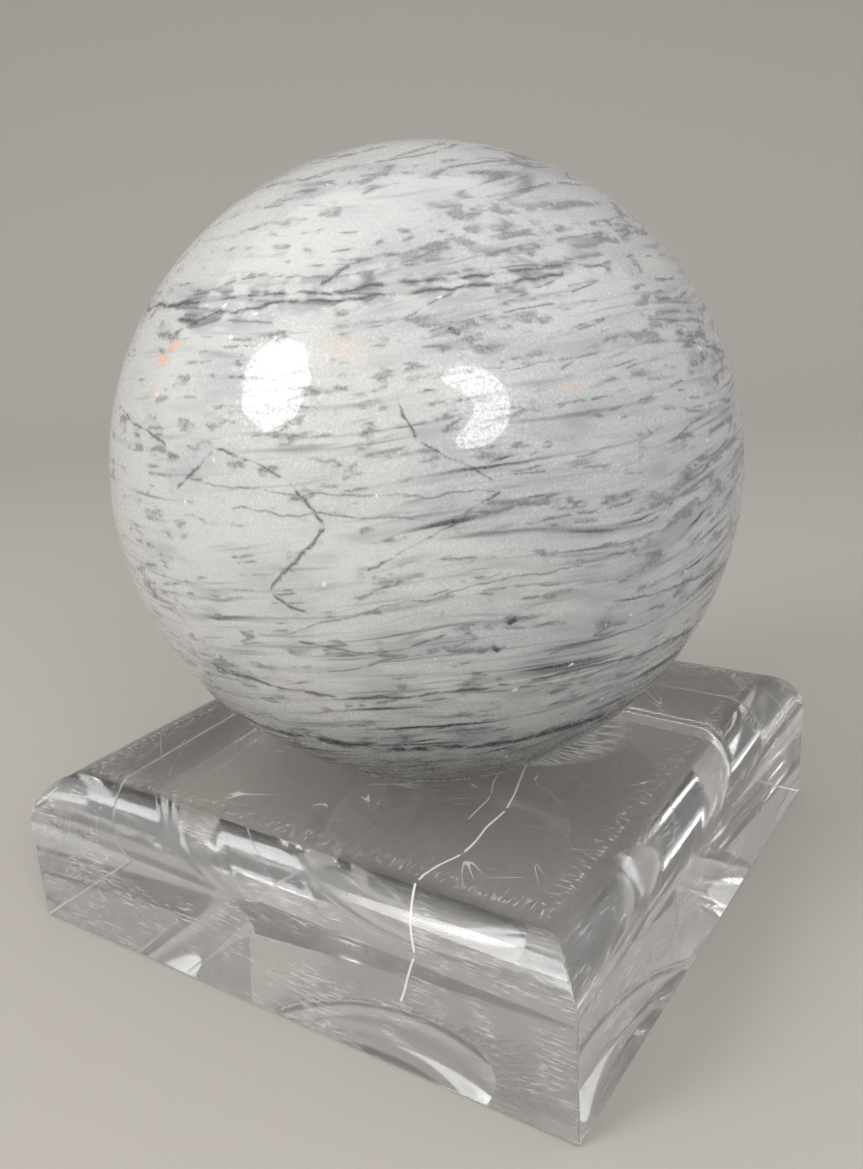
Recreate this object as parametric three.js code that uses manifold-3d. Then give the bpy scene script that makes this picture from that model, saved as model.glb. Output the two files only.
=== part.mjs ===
// A polished marble sphere resting in the dished top of a clear acrylic block.
//
// Units are millimetres and +Z is up. The origin is the middle of the block's underside,
// so the block stands on the plane z = 0. The block's four sides face -Y, +X, +Y and -X.
// Each top edge is rounded over by its own straight pass, so the four roundings meet in
// sharp mitres at the corners, and the upright edges stay sharp.

import * as THREE from 'three';
import { mergeVertices } from 'three/addons/utils/BufferGeometryUtils.js';
import Module from 'manifold-3d';

// driving dimensions
const SPHERE_DIAMETER = 152;
const BLOCK_SIDE = 152;
const BLOCK_HEIGHT = 39.5;
const EDGE_RADIUS = 12.5;      // round-over of the four top edges
const SEAT_DEPTH = 7.8;        // how far the sphere's lowest point lies below the block's top
const SEAT_CLEARANCE = 0.3;    // gap between the sphere and the dish that it lies in

// fineness of the round surfaces
const SPHERE_SEGMENTS = 80;    // round the sphere, with half as many from pole to pole
const EDGE_SEGMENTS = 16;      // across each rounded edge

const BAR_OVERLENGTH = 1.25;   // how much longer than the block each of its two crossed bars is

const sphereRadius = SPHERE_DIAMETER / 2;
const sphereHeight = BLOCK_HEIGHT - SEAT_DEPTH + sphereRadius;   // of the sphere's middle above z = 0

const wasm = await Module();
wasm.setup();

// A three.js geometry with closed faces, as a solid that can be joined and cut.
function toSolid(geometry) {
  const bare = geometry.clone();
  bare.deleteAttribute('normal');
  bare.deleteAttribute('uv');
  const merged = mergeVertices(bare);
  return new wasm.Manifold(new wasm.Mesh({
    numProp: 3,
    vertProperties: new Float32Array(merged.attributes.position.array),
    triVerts: new Uint32Array(merged.index.array),
  }));
}

// The solid's surface as a three.js geometry.
function toGeometry(solid) {
  const { vertProperties, triVerts } = solid.getMesh();
  const geometry = new THREE.BufferGeometry();
  geometry.setAttribute('position', new THREE.BufferAttribute(vertProperties, 3));
  geometry.setIndex(new THREE.BufferAttribute(triVerts, 1));
  geometry.computeVertexNormals();
  return geometry;
}

// A ball with its poles on the upright axis.
function ball(radius) {
  return new THREE.SphereGeometry(radius, SPHERE_SEGMENTS, SPHERE_SEGMENTS / 2).rotateX(Math.PI / 2);
}

// The block's section: square below, a quarter circle at each top corner.
function blockSection() {
  const half = BLOCK_SIDE / 2;
  const shoulder = BLOCK_HEIGHT - EDGE_RADIUS;
  const section = new THREE.Shape();
  section.moveTo(-half, 0);
  section.lineTo(half, 0);
  section.lineTo(half, shoulder);
  section.absarc(half - EDGE_RADIUS, shoulder, EDGE_RADIUS, 0, Math.PI / 2);
  section.lineTo(-half + EDGE_RADIUS, BLOCK_HEIGHT);
  section.absarc(-half + EDGE_RADIUS, shoulder, EDGE_RADIUS, Math.PI / 2, Math.PI);
  section.lineTo(-half, 0);
  return section;
}

// A bar of the block's section along Y, longer than the block, with its underside on z = 0.
function sectionBar() {
  const length = BLOCK_SIDE * BAR_OVERLENGTH;
  return new THREE.ExtrudeGeometry(blockSection(), {
    depth: length,
    curveSegments: EDGE_SEGMENTS,
    bevelEnabled: false,
  }).translate(0, 0, -length / 2).rotateX(Math.PI / 2);
}

// Two crossed bars share the block with its mitred roundings. A slightly larger ball cuts the dish.
function acrylicBlock() {
  const alongY = sectionBar();
  const alongX = alongY.clone().rotateZ(Math.PI / 2);
  const cutter = ball(sphereRadius + SEAT_CLEARANCE).translate(0, 0, sphereHeight);
  return toGeometry(toSolid(alongY).intersect(toSolid(alongX)).subtract(toSolid(cutter)));
}

const marble = new THREE.MeshStandardMaterial({ color: 0xc6c8c6, roughness: 0.18, metalness: 0 });
const acrylic = new THREE.MeshStandardMaterial({
  color: 0xeef1f0, roughness: 0.06, metalness: 0, transparent: true, opacity: 0.35,
});

const object = new THREE.Group();

const base = new THREE.Mesh(acrylicBlock(), acrylic);
base.name = 'acrylic_base';
object.add(base);

const sphere = new THREE.Mesh(ball(sphereRadius), marble);
sphere.name = 'marble_sphere';
sphere.position.set(0, 0, sphereHeight);
object.add(sphere);

export default object;
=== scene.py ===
from functools import reduce
from math import atan2, cos, degrees, pi, radians, sin, sqrt

import bpy
import numpy as np
from mathutils import Matrix, Vector


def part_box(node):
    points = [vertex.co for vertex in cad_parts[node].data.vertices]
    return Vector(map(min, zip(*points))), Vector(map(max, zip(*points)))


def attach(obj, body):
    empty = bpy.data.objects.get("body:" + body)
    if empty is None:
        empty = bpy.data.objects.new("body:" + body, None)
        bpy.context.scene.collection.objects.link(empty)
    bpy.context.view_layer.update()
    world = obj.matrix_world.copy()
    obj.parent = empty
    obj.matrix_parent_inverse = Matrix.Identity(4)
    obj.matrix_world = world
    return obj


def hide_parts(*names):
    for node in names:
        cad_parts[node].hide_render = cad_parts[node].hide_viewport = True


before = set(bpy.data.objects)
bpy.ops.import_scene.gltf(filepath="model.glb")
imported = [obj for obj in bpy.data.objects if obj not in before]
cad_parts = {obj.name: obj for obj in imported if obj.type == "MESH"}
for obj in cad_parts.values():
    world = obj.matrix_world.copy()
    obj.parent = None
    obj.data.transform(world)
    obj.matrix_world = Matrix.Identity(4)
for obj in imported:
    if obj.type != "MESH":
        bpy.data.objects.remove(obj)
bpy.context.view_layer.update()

mm = 0.001
blockLow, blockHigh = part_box("acrylic_base")
ballLow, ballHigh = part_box("marble_sphere")
halfSide = (blockHigh.x - blockLow.x) / 2
blockTop = blockHigh.z
ballRadius = (ballHigh.z - ballLow.z) / 2
ballCentre = (ballLow + ballHigh) / 2
seatRadius = sqrt(ballRadius ** 2 - (ballCentre.z - blockTop) ** 2)     # where the dish meets the flat
viewTurn = radians(34)   # the ball's best face looks this far round from -Y towards +X


# Closes a stack of rings into one skin: two points of one ring and two of the next make a face, and
# a fan of triangles closes it at the first and the last point. All rings run anticlockwise seen from
# above.
def skin(name, rings, firstPoint, lastPoint, material):
    rows, columns = rings.shape[:2]
    points = np.concatenate([[firstPoint], rings.reshape(-1, 3), [lastPoint]])
    here = np.arange(columns)
    following = (here + 1) % columns
    row = 1 + np.arange(rows - 1)[:, None] * columns
    quads = np.stack([row + here, row + following, row + columns + following, row + columns + here], -1)
    lastRow = 1 + (rows - 1) * columns
    bottomFan = np.stack([np.zeros_like(here), 1 + following, 1 + here], -1)
    topFan = np.stack([lastRow + here, lastRow + following, np.full_like(here, len(points) - 1)], -1)
    faces = quads.reshape(-1, 4).tolist() + bottomFan.tolist() + topFan.tolist()
    mesh = bpy.data.meshes.new(name)
    mesh.from_pydata(points, [], faces)
    mesh.polygons.foreach_set("use_smooth", np.ones(len(mesh.polygons), bool))
    mesh.materials.append(material)
    mesh.update()
    piece = bpy.data.objects.new(name, mesh)
    bpy.context.scene.collection.objects.link(piece)
    return piece


# An operator of Flow: a Math node for self and the other value, in this or the reflected order.
def operator(operation, reflected=False):
    def act(self, other):
        pair = (other, self) if reflected else (self, other)
        return self.node("Math", {"operation": operation}, dict(enumerate(pair)))
    return act


# One output socket in a node tree. Expressions on it add Math nodes.
class Flow:
    def __init__(self, tree, socket=None):
        self.tree = tree
        self.socket = socket

    # adds a node: its settings come first, then the values or links of its sockets
    def node(self, kind, settings=None, sockets=None, out=0):
        made = self.tree.nodes.new("ShaderNode" + kind)
        for name, value in (settings or {}).items():
            setattr(made, name, value)
        for name, value in (sockets or {}).items():
            if isinstance(value, Flow):
                self.tree.links.new(value.socket, made.inputs[name])
            else:
                made.inputs[name].default_value = value
        return Flow(self.tree, made.outputs[out])

    # maths with this value first
    def maths(self, operation, *others):
        return self.node("Math", {"operation": operation}, dict(enumerate((self, *others))))

    # vector maths with this vector first
    def vectors(self, operation, other, out=0):
        return self.node("VectorMath", {"operation": operation}, {0: self, 1: other}, out)

    # this vector's part along a direction
    def along(self, direction):
        return self.vectors("DOT_PRODUCT", direction, out=1)

    # 0 below low, 1 above high, eased between them; it falls instead where low is over high
    def rise(self, low, high):
        span = {"Value": self, "From Min": low, "From Max": high}
        return self.node("MapRange", {"interpolation_type": "SMOOTHSTEP"}, span)

    # this value's share of the second colour over the first
    def tint(self, first, second):
        return self.node("Mix", {"data_type": "RGBA"}, {0: self, 6: first, 7: second}, out=2)

    # this vector from an origin, in axes turned by the given angles in degrees, counted in the given
    # lengths; without a turn, plain vector maths is quicker
    def framed(self, lengths, turn=(0, 0, 0), origin=(0, 0, 0)):
        if any(turn):
            return self.node("Mapping", {"vector_type": "TEXTURE"}, {
                "Vector": self, "Location": origin, "Scale": lengths,
                "Rotation": tuple(radians(angle) for angle in turn)})
        away = self.vectors("SUBTRACT", origin) if any(origin) else self
        return away.vectors("DIVIDE", lengths)

    # noise at this place, counted in its own lengths; out=1 gives three values at once
    def noise(self, detail=2.0, roughness=0.5, out=0, size="3D"):
        return self.node("TexNoise", {"noise_dimensions": size}, {
            "Vector": self, "Scale": 1.0, "Detail": detail, "Roughness": roughness}, out)

    # a random number for each small cube of the given side
    def chance(self, side):
        counted = self.framed((side, side, side))
        cube = counted.node("VectorMath", {"operation": "FLOOR"}, {0: counted})
        return cube.node("TexWhiteNoise", {"noise_dimensions": "3D"}, {"Vector": cube})

    # a random shift up to half of 1 each way, that changes over the given length
    def sway(self, length, detail=1.0):
        shift = self.framed((length, length, length)).noise(detail, 0.5, out=1)
        return shift.vectors("SUBTRACT", (0.5, 0.5, 0.5))

    # this vector moved by a shift times a reach
    def moved(self, shift, reach):
        return self.vectors("ADD", shift.vectors("MULTIPLY", reach))

    # the larger of two values: of two marks, the stronger one shows
    def over(self, other):
        return self.maths("MAXIMUM", other)

    # the smaller of two values: of two distances, the nearer one
    def orNearer(self, other):
        return self.maths("MINIMUM", other)

    # the three parts of a vector, or of a colour
    def parts(self):
        split = self.node("SeparateXYZ", {}, {0: self})
        return [Flow(self.tree, socket) for socket in split.socket.node.outputs]

    __add__ = __radd__ = operator("ADD")
    __sub__ = operator("SUBTRACT")
    __rsub__ = operator("SUBTRACT", True)
    __mul__ = __rmul__ = operator("MULTIPLY")
    __truediv__ = operator("DIVIDE")
    __rtruediv__ = operator("DIVIDE", True)

    def __abs__(self):
        return self.maths("ABSOLUTE")


# An empty material, as the start of its flow and the socket that its shader goes into.
def newMaterial(name):
    material = bpy.data.materials.new(name)
    material.use_nodes = True
    material.node_tree.nodes.clear()
    output = material.node_tree.nodes.new("ShaderNodeOutputMaterial")
    return material, Flow(material.node_tree), output.inputs["Surface"]


# The strongest of some marks at each place.
def strongest(marks):
    return reduce(Flow.over, marks)


# Links the last shader of a material to its surface.
def connect(shader, surface):
    shader.tree.links.new(shader.socket, surface)


# Object coordinates in millimetres from a point, in axes turned about the upright one.
def localPlace(start, origin, turn):
    return start.node("TexCoord", out=3).framed((mm, mm, mm), (0, 0, turn), origin)


# Places in the stone are in mm from the ball's middle: along its width, depth and height. Three
# lengths together are along the same three.
marble = dict(
    columns=384, rows=192,
    wave=0.02,                          # mm, how far the polish dips
    warm=(0.570, 0.570, 0.542, 1),      # clean stone, warmer and cooler; the cooler also paints shade on one side
    cool=(0.450, 0.460, 0.465, 1),
    smoke=(0.25, 0.26, 0.275, 1),       # grey cloud beside the veins, and painted shade low on the ball
    vein=(0.055, 0.058, 0.065, 1),
    rust=(0.80, 0.45, 0.28, 1),
    bright=(0.95, 0.95, 0.93, 1),       # bright crystals, and painted glints
    polish=0.04, dull=0.25,             # roughness of the polished face, and more on dull crystals
    ior=1.6,
    # sizes in mm: crystals, painted glints, the warm and cool places, clouds, and breaks in the veins
    crystal=0.55, paintedGlintSize=1.8, body=(30, 30, 12), cloud=(22, 22, 5), broken=(6, 6, 3),
    smokeReach=5,                       # mm of smoke beside a main vein
    paintedShadeFoot=(-30, -58),                # painted shade: the ball greys downwards between these heights
    fadeAbove=(15, 62),                 # its streaks get fainter upwards between these
    # mm on either side of the middle: where one half gives way to the other, and where veins fade
    seam=0.5, seamFade=5,
    # how streaks crowd: size of such places, how uneven, more across and downwards per mm, and a base
    crowd=dict(size=(24, 24, 12), uneven=0.30, across=0.0005, down=0.0014, base=-0.16),
    # streaks in layers along the beds: length and gap in mm, tilt in degrees, and how rare and dark
    streaks=[
        dict(length=26, gap=1.7, tilt=-3, rare=0.605, dark=0.75, shift=0),
        dict(length=13, gap=1.4, tilt=-10, rare=0.64, dark=0.95, shift=31),
        dict(length=40, gap=1.3, tilt=-5, rare=0.605, dark=0.80, shift=67)],
    soft=0.24,                          # how slowly a streak darkens inwards
    halo=dict(start=-0.09, end=0.12, dark=0.45),        # the smoke round it, from where to where
    # thin lines along the beds
    hairlines=[
        dict(length=60, gap=5, tilt=-3, dark=0.60, shift=11),
        dict(length=34, gap=4, tilt=-9, dark=0.65, shift=53)],
    # random shifts, each over a length in mm and with some finer detail
    sways=dict(slow=(45, 0), middling=(9, 1), quick=(2, 1)),
    # how far they move each kind of mark, in mm
    wander=dict(
        veins=dict(middling=(4, 4, 3), quick=(1, 1, 0.8)),
        spots=dict(quick=(3, 3, 2)),
        beds=dict(slow=(10, 10, 8), middling=(3, 3, 0.8), quick=(0.6, 0.6, 0.3))),
)

# The main veins are sheets through the stone, in groups of one width in mm, darkness and smoke.
# Each runs through its points (width, height), one straight leg after another.
veinGroups = [
    dict(width=0.42, dark=0.8, smoke=0.6, runs=[                # the double vein, and smoky seams below
        [(-66, 43), (-24, 46), (36, 48)], [(-50, 41), (-22, 44.5), (28, 46)],
        [(-56, -28), (-20, -32), (14, -30)], [(16, -29), (58, -31)]]),
    dict(width=0.22, dark=0.6, smoke=0, runs=[                  # the fine pair and the long slant
        [(-44, 12), (12, 10)], [(-38, 8), (8, 6)], [(-36, -18), (0, -8), (28, -5)]]),
    dict(width=0.34, dark=0.75, smoke=0.2, runs=[               # the zigzag, the crossing and others
        [(-50, 10), (-40, 19), (-26, 14), (-20, 5), (-32, -8), (-24, -12)],
        [(-5, 28), (-2, 20), (12, 12)], [(13, 10), (-12, -3)], [(-66, 24), (-50, 18)],
        [(-19, 47), (-12, 51), (-3, 52)], [(-28, -18), (-12, -21), (2, -17)],
        [(34, -15), (64, -17)], [(54, 32), (70, 26)]]),
    dict(width=1.0, dark=0.9, smoke=0.9, runs=[[(-60, -46), (60, -48)]]),      # a wide dark line low round the ball
]

# Spots on the face of the stone: middle (width, height), radius and strength.
blots = [((14, -15), 1.8, 0.95), ((11, -21), 1.5, 0.9), ((6, 38), 1.6, 0.8), ((-44, 41), 2.0, 0.8)]
stains = [((-49, 37), 2.2, 0.6), ((-52, 34), 2.2, 0.6), ((-54, 28), 2.4, 0.25), ((-14, 36), 4.0, 0.15),
          ((27, 27), 2.0, 0.25)]
calm = ((-28, 4), 24, 0.07)             # few streaks here


# The distance in mm to the nearest leg. Near a leg's ends and past them, a share of the way along
# it is added, so that a vein tapers out.
def legDistance(place, runs):
    taper = 1       # mm before the end
    share = 0.5
    distances = []
    for run in runs:
        corners = [Vector((across, 0, up)) for across, up in run]
        for first, last in zip(corners, corners[1:]):
            way = (last - first).normalized()
            side = Vector((-way.z, 0, way.x))
            middle = (first + last) / 2
            past = abs(place.along(way) - middle.dot(way)) - ((last - first).length / 2 - taper)
            distances.append(abs(place.along(side) - middle.dot(side)) + past.over(0) * share)
    return reduce(Flow.orNearer, distances)


# A spot in the face of the stone, wider than it is high, that fades from its core to its radius.
def patch(place, middle, radius, strength):
    squash = (0.6, 0.6, 1.2)
    core = 0.2
    centre = (middle[0], -sqrt((ballRadius / mm) ** 2 - middle[0] ** 2 - middle[1] ** 2), middle[1])
    distance = place.vectors("SUBTRACT", centre).vectors("MULTIPLY", squash)
    reach = distance.node("VectorMath", {"operation": "LENGTH"}, {0: distance}, out=1)
    return reach.rise(radius, radius * core) * strength


# A place moved by the random shifts that this kind of mark follows.
def wander(place, sways, kind):
    for name, reach in marble["wander"][kind].items():
        place = place.moved(sways[name], reach)
    return place


# The noise of one layer of the beds, drawn out to its length, gap and tilt.
def layerNoise(beds, layer, roughness):
    length, shift = layer["length"], layer["shift"]
    turned = beds.framed((length, length, layer["gap"]), (0, layer["tilt"], 0), (shift, shift, shift))
    return turned.noise(1, roughness)


# The main veins as lists of marks: their lines, and the smoke beside them.
def veinMarks(ragged, thickness):
    lines = []
    hazes = []
    for group in veinGroups:
        reach = legDistance(ragged, group["runs"]) / thickness
        lines.append(reach.rise(group["width"] * 2, 0) * group["dark"])
        hazes.append(reach.rise(marble["smokeReach"], 0) * group["smoke"])
    return lines, hazes


# The streaks and hairlines along the beds as lists of marks: their lines, and the smoke round them.
def bedMarks(beds, crowd, strength, shown, thickness):
    lines = []
    hazes = []
    halo = marble["halo"]
    for layer in marble["streaks"]:
        rare = layer["rare"]
        level = layerNoise(beds, layer, 0.45) + crowd
        lines.append(level.rise(rare, rare + marble["soft"]) * strength * layer["dark"])
        hazes.append(level.rise(rare + halo["start"], rare + halo["end"]) * halo["dark"])
    for layer in marble["hairlines"]:
        line = (abs(layerNoise(beds, layer, 0.5) - 0.5) / thickness).rise(0.06, 0)
        lines.append(line * shown * layer["dark"])
    return lines, hazes


# White marble: clean stone, darkened and coloured by its marks one after another, with painted shade and
# painted glints among them.
def makeMarble():
    material, start, surface = newMaterial("polished_marble")
    place = localPlace(start, ballCentre, degrees(viewTurn))
    width, depth, height = place.parts()
    sways = {name: place.sway(*sway) for name, sway in marble["sways"].items()}
    grain = place.framed([marble["crystal"]] * 3).noise(1, 0.6)
    speck = grain.rise(0.35, 0.65)
    broken = place.framed(marble["broken"]).noise(2, 0.65)
    thickness = 0.35 + broken * 1.3

    # the main veins cross both halves of the ball: the far one repeats the near one, end for end
    half = depth.rise(marble["seam"], -marble["seam"]) * 2 - 1
    turned = place.node("VectorMath", {"operation": "SCALE"}, {0: place, "Scale": half})
    joined = abs(depth).rise(0, marble["seamFade"])
    spotted = wander(turned, sways, "spots")
    lines, hazes = veinMarks(wander(turned, sways, "veins"), thickness)
    lines += [patch(spotted, *blot) for blot in blots]
    dark = strongest(lines) * joined * (broken.rise(0.32, 0.52) * 0.6 + 0.4)
    smoke = strongest(hazes) * joined * broken.rise(0.40, 0.62)

    # streaks along the beds: more and darker downwards and to one side, and few in the calm place
    beds = wander(place, sways, "beds")
    crowding = marble["crowd"]
    crowd = place.framed(crowding["size"]).noise(1, 0.6) * crowding["uneven"]
    crowd = crowd + width * crowding["across"] - height * crowding["down"] + crowding["base"]
    crowd = crowd - patch(turned, *calm)
    faintFrom, faintTo = marble["fadeAbove"]
    strength = height.rise(faintTo, faintFrom) * 0.65 + 0.45
    shown = (broken + crowd + height * 0.002).rise(0.44, 0.60)
    lines, hazes = bedMarks(beds, crowd, strength, shown, thickness)
    dark = strongest([dark, *lines])

    # clouds of smoke between them, and painted shade that greys the ball's lower part
    cloud = beds.framed(marble["cloud"], origin=(17, 17, 17)).noise(2, 0.6) + crowd * 0.8
    foot = height.rise(*marble["paintedShadeFoot"]) * 0.6
    # from here on the smoke also carries the painted shade of the lower ball
    smoke = strongest([smoke, *hazes, cloud.rise(0.46, 0.80) * 0.6, foot])

    # the clean stone, greyer on one side as painted shade, and over it crystals, smoke with the painted
    # shade of the foot, stains, veins and painted glints
    # the stone turns cooler in random places, and cooler and darker towards one side as painted shade
    coolnessAndShade = (place.framed(marble["body"]).noise(2, 0.6) + width * 0.004).rise(0.30, 0.70)
    body = coolnessAndShade.tint(marble["warm"], marble["cool"])
    grained = (speck * 0.10 + place.chance(marble["crystal"]) * 0.06).tint(body, marble["bright"])
    smokedAndShaded = (smoke * (0.75 + speck * 0.5)).tint(grained, marble["smoke"])
    stain = strongest([patch(spotted, *spot) for spot in stains])
    stained = (stain * joined).tint(smokedAndShaded, marble["rust"])
    # a mark has a dark core and a soft edge, and is strongest in dark crystals
    veined = (dark * (dark * 0.95 + 0.25) * (1.15 - speck * 0.25)).tint(stained, marble["vein"])
    # painted glints: small white specks that stand in for crystal faces catching the light
    paintedGlints = place.framed([marble["paintedGlintSize"]] * 3).noise(0).rise(0.83, 0.90)
    connect(start.node("BsdfPrincipled", {}, {
        "Base Color": (paintedGlints * 0.7).tint(veined, marble["bright"]),
        "Roughness": marble["polish"] + grain.rise(0.50, 0.60) * marble["dull"],
        "IOR": marble["ior"],
    }), surface)
    return material


# The ball: x = r cos(lat) cos(lon), y = r cos(lat) sin(lon), z = r sin(lat), where r dips by a
# very slow wave of the polish.
def makeBall(material):
    lon = np.linspace(0, 2 * pi, marble["columns"], endpoint=False)
    lat = np.linspace(-pi / 2, pi / 2, marble["rows"] + 1)[1:-1, None]
    wave = 0.5 + 0.25 * np.sin(5 * lat + 2 * np.sin(3 * lon)) + 0.25 * np.sin(4 * lon - 3 * lat)
    r = ballRadius - marble["wave"] * mm * wave * np.cos(lat) ** 2      # the poles stay in place
    rings = np.stack([r * np.cos(lat) * np.cos(lon), r * np.cos(lat) * np.sin(lon),
                      r * np.sin(lat) * np.ones_like(lon)], -1)
    centre = np.array(ballCentre)
    pole = np.array([0, 0, ballRadius])
    return skin("marble_ball", rings + centre, centre - pole, centre + pole, material)


# Places in the block are in mm from the middle of its underside. Where its wear is given in mm too,
# that is along its skin laid flat.
acrylic = dict(
    edgeRadius=12.5 * mm,       # round-over of the top edges
    sharpEdge=0.3 * mm,         # softening of the sharp edges
    seatGap=0.3 * mm,           # between the ball and its dish
    rimRadius=0.8 * mm,         # softening of the dish's rim
    support=0.25 * mm,          # how close extra rings stand to a rounding, to keep its faces flat
    # steps of the mesh: each side and corner, then foot, rounding, flat, rim and dish
    sideSteps=36, cornerSteps=4,
    footSteps=5, roundSteps=20, flatSteps=7, rimSteps=4, dishSteps=24,
    clear=(0.975, 0.975, 0.965, 1),
    scuff=(0.90, 0.89, 0.87, 1),
    ior=1.49, polish=0.02, scuffed=0.45,        # and the roughness of clear and of rubbed places
    haze=0.012,                 # how white the wear leaves even its clear places,
    edgeHaze=0.05,              # and how much more on the rounding
    sideHaze=0.09,              # and on the sides
    blur=0.06,                  # more roughness on the rounding,
    blurred=(22, 32),           # which comes in between these heights
    patches=16,                 # mm, size of places that are worn more than others
    # hairlines: turn in degrees, length and gap in mm, how wide, how bright, and a shift
    hairlines=[
        dict(turn=25, length=90, gap=6, wide=0.006, bright=0.5, shift=5),
        dict(turn=-48, length=80, gap=5, wide=0.005, bright=0.5, shift=22)],
    # soft strokes on the rounding and the sides: length and gap in mm, how rare and how bright
    rubs=dict(length=5, gap=0.7, rare=0.48, bright=0.24),
    # Two long scratches through their points: the way forward over the top and on down the front,
    # and the place across the block. Their width in mm and brightness follow.
    scratches=[
        dict(run=[(10, 33), (34, 39.5), (54, 40.5), (67, 37), (86, 42.5), (99, 38)],
             wide=0.40, bright=0.75),
        dict(run=[(12, 27), (30, 33), (42, 35)], wide=0.25, bright=0.6)],
    scratchFoot=(8, 12),        # they end between these heights
    # strokes out of the seat: how many to a radian, their length in mm, and the ring that they fill,
    # which is narrow but for one side, towards an angle in radians
    seatStrokes=dict(count=60, length=6, towards=0.45, narrow=2, wider=15, bright=0.9),
    # strokes in from the flat's border, from mm inside it to mm outside
    borderStrokes=dict(length=2.5, gap=0.4, inside=-5, outside=3, bright=0.3),
)


# The block's rings: a ring of half-width s with corners of radius c is (s - c) Q(u) + c A(u), where
# Q runs round the unit square, waits at each corner, and A turns a quarter there.
def squarePath():
    inset = 0.006       # how near to a corner a side's first and last points stand
    along = np.concatenate([[-1], np.linspace(-1 + inset, 1 - inset, acrylic["sideSteps"])])
    turn = np.linspace(0, pi / 2, acrylic["cornerSteps"] + 1)[:-1]
    q = []
    a = []
    for side in range(4):
        quarter = side * pi / 2
        out = np.array([cos(quarter), sin(quarter)])
        left = np.array([-sin(quarter), cos(quarter)])
        q.append(out + along[:, None] * left)
        a.append(np.repeat(out[None], len(along), 0))
        q.append(np.repeat((out + left)[None], len(turn), 0))
        a.append(np.cos(turn)[:, None] * out + np.sin(turn)[:, None] * left)
    return np.concatenate(q), np.concatenate(a)


# Rings of points, each at the height that goes with it.
def raised(rings, heights):
    return np.concatenate([rings, np.repeat(heights[:, None, None], rings.shape[1], 1)], -1)


# The block: a profile of half-widths and heights goes up the outside along the square path, then
# straight lines share out the flat between its border and a circle, and a profile of radii and
# heights goes over the rim and down the dish, which is part of a ball.
def makeBlock(material):
    q, a = squarePath()
    soft = acrylic["sharpEdge"]
    radius = acrylic["edgeRadius"]
    support = acrylic["support"]
    shoulder = blockTop - radius
    flatEdge = halfSide - radius

    # the outside: in from near the middle of the underside, round the foot, up, and over
    turn = np.linspace(0, pi / 2, acrylic["footSteps"] + 1)
    foot = np.stack([halfSide - soft + soft * np.sin(turn), soft - soft * np.cos(turn)], -1)
    over = np.linspace(0, pi / 2, acrylic["roundSteps"] + 1)
    rounding = np.stack([flatEdge + radius * np.cos(over), shoulder + radius * np.sin(over)], -1)
    profile = np.concatenate([
        [[0.35 * halfSide, 0], [0.8 * halfSide, 0], [halfSide - soft - support, 0]],
        foot,
        [[halfSide, soft + support], [halfSide, shoulder / 2], [halfSide, shoulder - support]],
        rounding,
        [[flatEdge - support, blockTop]],
    ])
    width = profile[:, 0][:, None, None]
    corner = np.minimum(soft, width / 2)
    square = (width - corner) * q + corner * a

    # the dish, with its rim softened by a small round that touches both faces
    dish = ballRadius + acrylic["seatGap"]
    rim = acrylic["rimRadius"]
    drop = ballCentre.z - blockTop
    rimCentre = sqrt((dish + rim) ** 2 - (drop + rim) ** 2)
    lean = atan2(rimCentre, drop + rim)
    curl = np.linspace(0, lean, acrylic["rimSteps"] + 1)
    rimProfile = np.stack([rimCentre - rim * np.sin(curl), blockTop - rim + rim * np.cos(curl)], -1)
    down = np.linspace(lean, 0, acrylic["dishSteps"] + 1)[1:-1]
    dishProfile = np.stack([dish * np.sin(down), ballCentre.z - dish * np.cos(down)], -1)
    inner = np.concatenate([rimProfile, dishProfile])

    border = square[-1]
    direction = border / np.linalg.norm(border, axis=1)[:, None]
    circle = direction * (rimCentre + support)
    share = np.linspace(0, 1, acrylic["flatSteps"] + 1)[1:, None, None]
    flat = border * (1 - share) + circle * share
    rings = np.concatenate([
        raised(square, profile[:, 1]),
        raised(flat, np.full(len(flat), blockTop)),
        raised(direction * inner[:, 0][:, None, None], inner[:, 1]),
    ])
    return skin("acrylic_block", rings, (0, 0, 0), (0, 0, ballCentre.z - dish), material)


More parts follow.
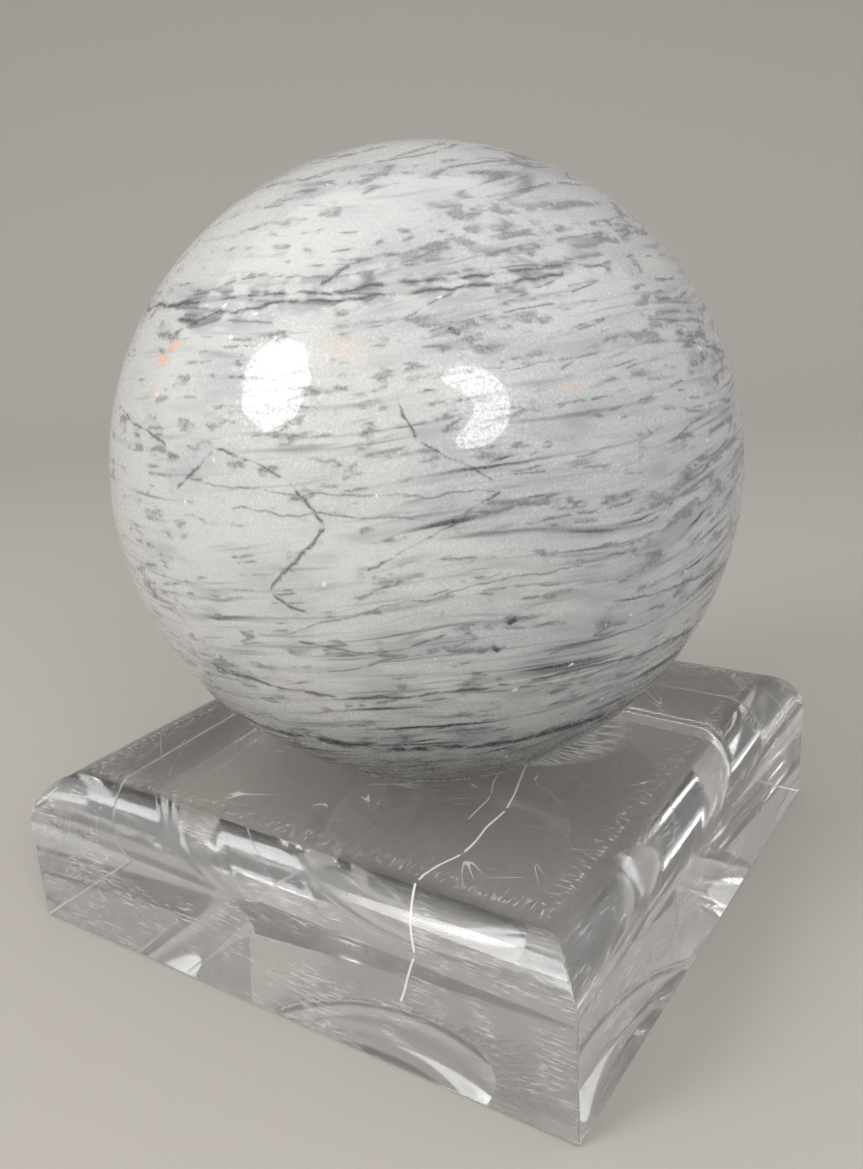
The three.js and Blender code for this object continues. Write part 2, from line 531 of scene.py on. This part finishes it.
# How white the acrylic is rubbed and scratched, from 0 to 1, and how far a place is on the rounding.
def wearMarks(place):
    x, y, z = place.parts()
    top = blockTop / mm

    # the skin laid flat: the top as it is, and each side unrolled over its rounding
    inward = abs(x).over(abs(y))
    onSide = abs(x).maths("GREATER_THAN", abs(y))
    onTop = z.maths("GREATER_THAN", top - 0.1)
    width = x + (y - x) * onSide
    down = inward + top - z
    laid = x.node("CombineXYZ", {}, {0: width + (x - width) * onTop, 1: down + (y - down) * onTop})
    size = acrylic["patches"]
    patches = laid.framed((size, size, 1)).noise(1, 0.6, out=1, size="2D").parts()

    # hairlines, which show best on the flat top
    faint = onTop * 0.6 + 0.4
    marks = []
    for line in acrylic["hairlines"]:
        shift, wide = line["shift"], line["wide"]
        lanes = laid.framed((line["length"], line["gap"], 1), (0, 0, line["turn"]), (shift, shift, 0))
        thin = abs(lanes.noise(0, size="2D") - 0.5).rise(wide, wide * 0.3)
        marks.append(thin * patches[shift % 3].rise(0.47, 0.60) * faint * line["bright"])

    # the rounding and the sides are rubbed along the edges, in soft strokes
    rubs = acrylic["rubs"]
    strokes = laid.framed((rubs["length"], rubs["gap"], 1)).noise(2, 0.65, size="2D")
    strokes = strokes + patches[2] * 0.3 - 0.15
    offTop = z.rise(top - 0.3, top - 2.5)
    rounding = z.rise(*acrylic["blurred"]) * offTop
    zones = patches[1].rise(0.42, 0.62)
    rubbed = strokes.rise(rubs["rare"], rubs["rare"] + 0.25) * zones * rubs["bright"]
    rubbed = rubbed + rounding * acrylic["edgeHaze"] + acrylic["sideHaze"]
    marks.append(rubbed * offTop)

    # long scratches
    forward = top - z - y
    unrolled = forward.node("CombineXYZ", {}, {0: forward, 2: x + patches[1] * 2})
    for scratch in acrylic["scratches"]:
        reach = legDistance(unrolled, [scratch["run"]]) / (patches[0] * 0.6 + 0.7)
        cut = reach.rise(scratch["wide"], scratch["wide"] * 0.3)
        marks.append(cut * z.rise(*acrylic["scratchFoot"]) * scratch["bright"])

    # short strokes out of the seat, in a ring that is wide on one side
    spray = acrylic["seatStrokes"]
    radius = (x * x + y * y).maths("SQRT")
    around = y.maths("ARCTAN2", x)
    seat = seatRadius / mm
    wide = (around - spray["towards"]).maths("COSINE").rise(0.6, 1.0) * spray["wider"] + spray["narrow"]
    band = radius.rise(seat - 1, seat) * ((radius - seat) / wide).rise(1.15, 0.5)
    ring = radius.node("CombineXYZ", {}, {0: around * spray["count"], 1: radius / spray["length"]})
    marks.append(ring.noise(1, 0.6, size="2D").rise(0.40, 0.55) * band * onTop * spray["bright"])

    # strokes in from the flat's border
    fringe = acrylic["borderStrokes"]
    border = inward - (halfSide - acrylic["edgeRadius"]) / mm
    short = border.node("CombineXYZ", {}, {0: width / fringe["gap"], 1: border / fringe["length"]})
    band = border.rise(fringe["inside"], 0) * border.rise(fringe["outside"], 1)
    marks.append(band * short.noise(0, size="2D").rise(0.62, 0.72) * fringe["bright"])

    aboveFoot = z.maths("GREATER_THAN", 0.1)        # the underside is clear
    return (strongest(marks) + acrylic["haze"]) * aboveFoot, rounding


# Clear acrylic, mixed with white where it is worn.
def makeAcrylic():
    material, start, surface = newMaterial("clear_acrylic")
    worn, rounding = wearMarks(localPlace(start, (0, 0, 0), 0))
    clear = start.node("BsdfPrincipled", {}, {
        "Base Color": acrylic["clear"], "Roughness": rounding * acrylic["blur"] + acrylic["polish"],
        "IOR": acrylic["ior"], "Transmission Weight": 1.0})
    rubbed = start.node("BsdfPrincipled", {}, {
        "Base Color": acrylic["scuff"], "Roughness": acrylic["scuffed"]})
    connect(start.node("MixShader", {}, {0: worn, 1: clear, 2: rubbed}), surface)
    return material


print("making the marble")
ball = makeBall(makeMarble())
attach(ball, "root")
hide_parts("marble_sphere")

print("making the acrylic block")
block = makeBlock(makeAcrylic())
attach(block, "root")
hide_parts("acrylic_base")


studio = dict(
    floor=(0.47, 0.435, 0.40, 1), floorRoughness=0.7,
    gap=0.2 * mm,               # air between the floor and the block, without which it looks wet
    halfWidth=3.0, floorFront=-2.0, wallPlace=1.4, wallHeight=2.2, sweepRadius=0.7, sweepSteps=23,
    # light of the room from above and from below, and the heights between which it changes
    high=(0.90, 0.91, 0.92, 1), low=(0.20, 0.195, 0.19, 1), horizon=(-0.4, 0.9),
    lamps=[
        # direction from the ball's middle, distance, width and height, sides, depth of the bite,
        # spin in degrees, and brightness
        dict(name="lamp_left", towards=(-0.34, -0.76, 0.55), away=1.1, width=0.48, height=0.56, sides=7,
             bite=0, spin=20, glow=9.5),
        dict(name="lamp_right", towards=(0.66, -0.57, 0.49), away=1.1, width=0.52, height=0.50, sides=32,
             bite=1.15, spin=2, glow=8),
    ],
    fill=dict(towards=(0.75, -0.45, 0.45), away=1.2, size=0.7, watts=1.8),
    bounces=14, glossyBounces=8,        # light stays in the block for many reflections
)
# place in metres, angles in degrees, lens and sensor in mm, and the nearest that it sees, in metres
camera = dict(place=(0.1450, -0.2172, 0.1601), heading=33.85, pitch=17.54, roll=-3.27,
              lens=32.69, sensor=36, nearest=0.01)


# A pale sweep: a floor that curves up into a wall. The profile is carried across the width.
def makeSweep():
    material, start, surface = newMaterial("pale_sweep")
    connect(start.node("BsdfPrincipled", {}, {
        "Base Color": studio["floor"], "Roughness": studio["floorRoughness"]}), surface)
    r = studio["sweepRadius"]
    bend = np.linspace(0, pi / 2, studio["sweepSteps"] + 1)
    y = np.concatenate([[studio["floorFront"]], studio["wallPlace"] - r + r * np.sin(bend),
                        [studio["wallPlace"]]])
    z = np.concatenate([[0], r - r * np.cos(bend), [studio["wallHeight"]]]) - studio["gap"]
    x = np.array([-1, 1]) * studio["halfWidth"]
    points = np.stack([np.repeat(x, len(y)), np.tile(y, 2), np.tile(z, 2)], -1)
    turn = Matrix.Rotation(viewTurn, 3, "Z")
    points = points @ np.array(turn).T
    rows = len(y)
    row = np.arange(rows - 1)
    faces = np.stack([row, row + rows, row + rows + 1, row + 1], -1)
    mesh = bpy.data.meshes.new("sweep")
    mesh.from_pydata(points, [], faces.tolist())
    mesh.polygons.foreach_set("use_smooth", np.ones(len(faces), bool))
    mesh.materials.append(material)
    sweep = bpy.data.objects.new("sweep", mesh)
    bpy.context.scene.collection.objects.link(sweep)


# A glowing panel that faces the ball. Its edge is a ring of points at the panel's half-width and
# half-height; on the bitten side each point moves in by the bite times the cube of its share.
def makeLamp(spec):
    material, start, surface = newMaterial(spec["name"])
    connect(start.node("Emission", {}, {"Color": (1, 1, 1, 1), "Strength": spec["glow"]}), surface)
    turn = np.linspace(0, 2 * pi, spec["sides"], endpoint=False)
    x, y = np.cos(turn), np.sin(turn)
    x = np.where(x < 0, x * (1 - spec["bite"] * np.abs(x) ** 3), x)
    points = np.stack([x * spec["width"] / 2, y * spec["height"] / 2, np.zeros_like(x)], -1)
    points = points @ np.array(Matrix.Rotation(radians(spec["spin"]), 3, "Z")).T
    towards = Vector(spec["towards"]).normalized()
    facing = towards.to_track_quat("Z", "Y").to_matrix()
    points = points @ np.array(facing).T + np.array(ballCentre + towards * spec["away"])
    mesh = bpy.data.meshes.new(spec["name"])
    mesh.from_pydata(points, [], [list(range(len(points)))])
    mesh.materials.append(material)
    lamp = bpy.data.objects.new(spec["name"], mesh)
    lamp.visible_camera = False
    bpy.context.scene.collection.objects.link(lamp)


# A soft light from one side that doesn't show in the polish.
def makeFill(spec):
    data = bpy.data.lights.new("fill", "AREA")
    data.size = spec["size"]
    data.energy = spec["watts"]
    fill = bpy.data.objects.new("fill", data)
    towards = Vector(spec["towards"]).normalized()
    place = Matrix.Translation(ballCentre + towards * spec["away"])
    fill.matrix_world = place @ towards.to_track_quat("Z", "Y").to_matrix().to_4x4()
    fill.visible_glossy = False
    fill.visible_camera = False
    bpy.context.scene.collection.objects.link(fill)


# The room's even light: paler from above.
def makeWorld():
    world = bpy.data.worlds.new("soft_room")
    world.use_nodes = True
    start = Flow(world.node_tree)
    height = start.node("TexCoord", out=0).parts()[2]
    glow = height.rise(*studio["horizon"]).tint(studio["low"], studio["high"])
    background = world.node_tree.nodes["Background"]
    world.node_tree.links.new(glow.socket, background.inputs["Color"])
    world.cycles.sampling_method = "NONE"
    bpy.context.scene.world = world


# The camera turns to its heading, dips and rolls, in that order.
def makeCamera():
    data = bpy.data.cameras.new("camera")
    data.lens = camera["lens"]
    data.sensor_width = camera["sensor"]
    data.clip_start = camera["nearest"]
    eye = bpy.data.objects.new("camera", data)
    turn = (Matrix.Rotation(radians(camera["heading"]), 4, "Z")
            @ Matrix.Rotation(radians(90 - camera["pitch"]), 4, "X")
            @ Matrix.Rotation(radians(camera["roll"]), 4, "Z"))
    eye.matrix_world = Matrix.Translation(camera["place"]) @ turn
    bpy.context.scene.collection.objects.link(eye)
    bpy.context.scene.camera = eye


print("making the studio")
makeSweep()
for spec in studio["lamps"]:
    makeLamp(spec)
makeFill(studio["fill"])
makeWorld()
makeCamera()
bpy.context.scene.view_settings.view_transform = "Standard"
bpy.context.scene.cycles.max_bounces = studio["bounces"]
bpy.context.scene.cycles.transmission_bounces = studio["bounces"]
bpy.context.scene.cycles.glossy_bounces = studio["glossyBounces"]
